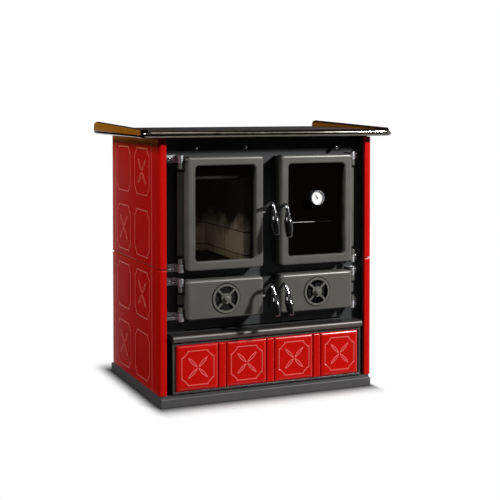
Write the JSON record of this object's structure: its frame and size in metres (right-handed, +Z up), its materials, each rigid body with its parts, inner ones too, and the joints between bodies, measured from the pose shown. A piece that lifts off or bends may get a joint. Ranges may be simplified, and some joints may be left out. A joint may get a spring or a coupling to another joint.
{
  "type": "wood-burning cookstove",
  "caption": "Freestanding wood-burning cookstove with glazed ceramic sides, glass fire and oven doors, ash and soot doors, a wood drawer and an iron hob.",
  "frame": {"origin": "centre of the plinth's footprint, on the floor", "axes": "+X to the viewer's right when facing the doors, -Y out of the front, +Z up"},
  "size_m": [0.884, 0.7142, 0.8897],
  "materials": {
    "plinth_paint": "satin",
    "red_glaze": "gloss",
    "sheet_steel": "satin",
    "grey_iron": "matt",
    "door_iron": "matt",
    "dark_steel": "satin",
    "frame_steel": "satin",
    "hob_steel": "polished",
    "plate_iron": "satin",
    "fire_brick": "matt",
    "baffle_steel": "satin",
    "oven_enamel": "gloss",
    "polished_steel": "polished",
    "grip_resin": "satin",
    "clear_glass": "clear",
    "glass_rope": "woven",
    "pointer_paint": "matt"
  },
  "bodies": {
    "stove": {"base_plinth": "plinth_paint", "base_pan": "plinth_paint", "left_upper_panel": "red_glaze", "left_lower_panel": "red_glaze", "right_upper_panel": "red_glaze", "right_lower_panel": "red_glaze", "left_wall": "sheet_steel", "right_wall": "sheet_steel", "back_panel": "sheet_steel", "front_plate": "grey_iron", "door_seats": "grey_iron", "drawer_ledge": "dark_steel", "hob_frame": "hob_steel", "left_hot_plate": "plate_iron", "right_hot_plate": "plate_iron", "firebox_shell": "sheet_steel", "fire_bricks": "fire_brick", "fire_grate": "plate_iron", "baffle_plate": "baffle_steel", "lower_chambers": "sheet_steel", "ash_pan": "sheet_steel", "oven_liner": "oven_enamel", "oven_rack": "polished_steel", "smoke_shelf": "sheet_steel", "flue_collar": "dark_steel", "hinge_brackets": "polished_steel", "hinge_pins": "dark_steel", "front_screws": "polished_steel", "drawer_runners": "sheet_steel"},
    "fire_door": {"fire_door_frame": "door_iron", "fire_door_glass": "clear_glass", "fire_door_retainer": "sheet_steel", "fire_door_gasket": "glass_rope"},
    "oven_door": {"oven_door_frame": "door_iron", "oven_door_glass": "clear_glass", "oven_door_retainer": "sheet_steel", "oven_door_gasket": "glass_rope", "thermometer_case": "polished_steel", "thermometer_lens": "clear_glass"},
    "ash_door": {"ash_door_frame": "door_iron", "ash_door_gasket": "glass_rope"},
    "soot_door": {"soot_door_frame": "door_iron", "soot_door_gasket": "glass_rope"},
    "fire_handle": {"fire_door_lever": "polished_steel", "fire_door_grip": "grip_resin"},
    "oven_handle": {"oven_door_lever": "polished_steel", "oven_door_grip": "grip_resin"},
    "ash_handle": {"ash_door_lever": "polished_steel", "ash_door_grip": "grip_resin"},
    "soot_handle": {"soot_door_lever": "polished_steel", "soot_door_grip": "grip_resin"},
    "ash_spinner": {"ash_spinner": "door_iron"},
    "soot_spinner": {"soot_spinner": "door_iron"},
    "dial_pointer": {"thermometer_pointer": "pointer_paint"},
    "damper": {"damper_pull": "polished_steel"},
    "drawer": {"drawer_box": "sheet_steel", "drawer_front": "frame_steel", "drawer_tiles": "red_glaze"},
    "ring": {"hob_ring": "plate_iron"},
    "lid": {"hob_lid": "plate_iron"}
  },
  "joints": [
    {"name": "fire_door_hinge", "type": "hinge", "parent": "stove", "child": "fire_door", "pos_m": [-0.304, -0.267, 0.6065], "axis": [0, 0, -1], "range_deg": [0, 110]},
    {"name": "oven_door_hinge", "type": "hinge", "parent": "stove", "child": "oven_door", "pos_m": [0.304, -0.267, 0.6065], "axis": [0, 0, 1], "range_deg": [0, 110]},
    {"name": "ash_door_hinge", "type": "hinge", "parent": "stove", "child": "ash_door", "pos_m": [-0.304, -0.267, 0.3355], "axis": [0, 0, -1], "range_deg": [0, 110]},
    {"name": "soot_door_hinge", "type": "hinge", "parent": "stove", "child": "soot_door", "pos_m": [0.304, -0.267, 0.3355], "axis": [0, 0, 1], "range_deg": [0, 110]},
    {"name": "fire_handle_pivot", "type": "hinge", "parent": "fire_door", "child": "fire_handle", "pos_m": [-0.0235, -0.267, 0.6065], "axis": [-1, 0, 0], "range_deg": [0, 55]},
    {"name": "oven_handle_pivot", "type": "hinge", "parent": "oven_door", "child": "oven_handle", "pos_m": [0.0235, -0.267, 0.6065], "axis": [-1, 0, 0], "range_deg": [0, 55]},
    {"name": "ash_handle_pivot", "type": "hinge", "parent": "ash_door", "child": "ash_handle", "pos_m": [-0.0235, -0.267, 0.3355], "axis": [-1, 0, 0], "range_deg": [0, 55]},
    {"name": "soot_handle_pivot", "type": "hinge", "parent": "soot_door", "child": "soot_handle", "pos_m": [0.0235, -0.267, 0.3355], "axis": [-1, 0, 0], "range_deg": [0, 55]},
    {"name": "ash_spinner_turn", "type": "hinge", "parent": "ash_door", "child": "ash_spinner", "pos_m": [-0.161, -0.2904, 0.3355], "axis": [0, -1, 0], "range_deg": [0, 45]},
    {"name": "soot_spinner_turn", "type": "hinge", "parent": "soot_door", "child": "soot_spinner", "pos_m": [0.161, -0.2904, 0.3355], "axis": [0, -1, 0], "range_deg": [0, 45]},
    {"name": "dial_pointer_turn", "type": "hinge", "parent": "oven_door", "child": "dial_pointer", "pos_m": [0.161, -0.284, 0.6445], "axis": [0, -1, 0], "range_deg": [-120, 120]},
    {"name": "damper_slide", "type": "slide", "parent": "stove", "child": "damper", "axis": [0, -1, 0], "range_m": [0, 0.06]},
    {"name": "drawer_slide", "type": "slide", "parent": "stove", "child": "drawer", "axis": [0, -1, 0], "range_m": [0, 0.35]},
    {"name": "ring_lift", "type": "slide", "parent": "stove", "child": "ring", "axis": [0, 0, 1], "range_m": [0, 0.06]},
    {"name": "lid_lift", "type": "slide", "parent": "ring", "child": "lid", "axis": [0, 0, 1], "range_m": [0, 0.06]}
  ]
}
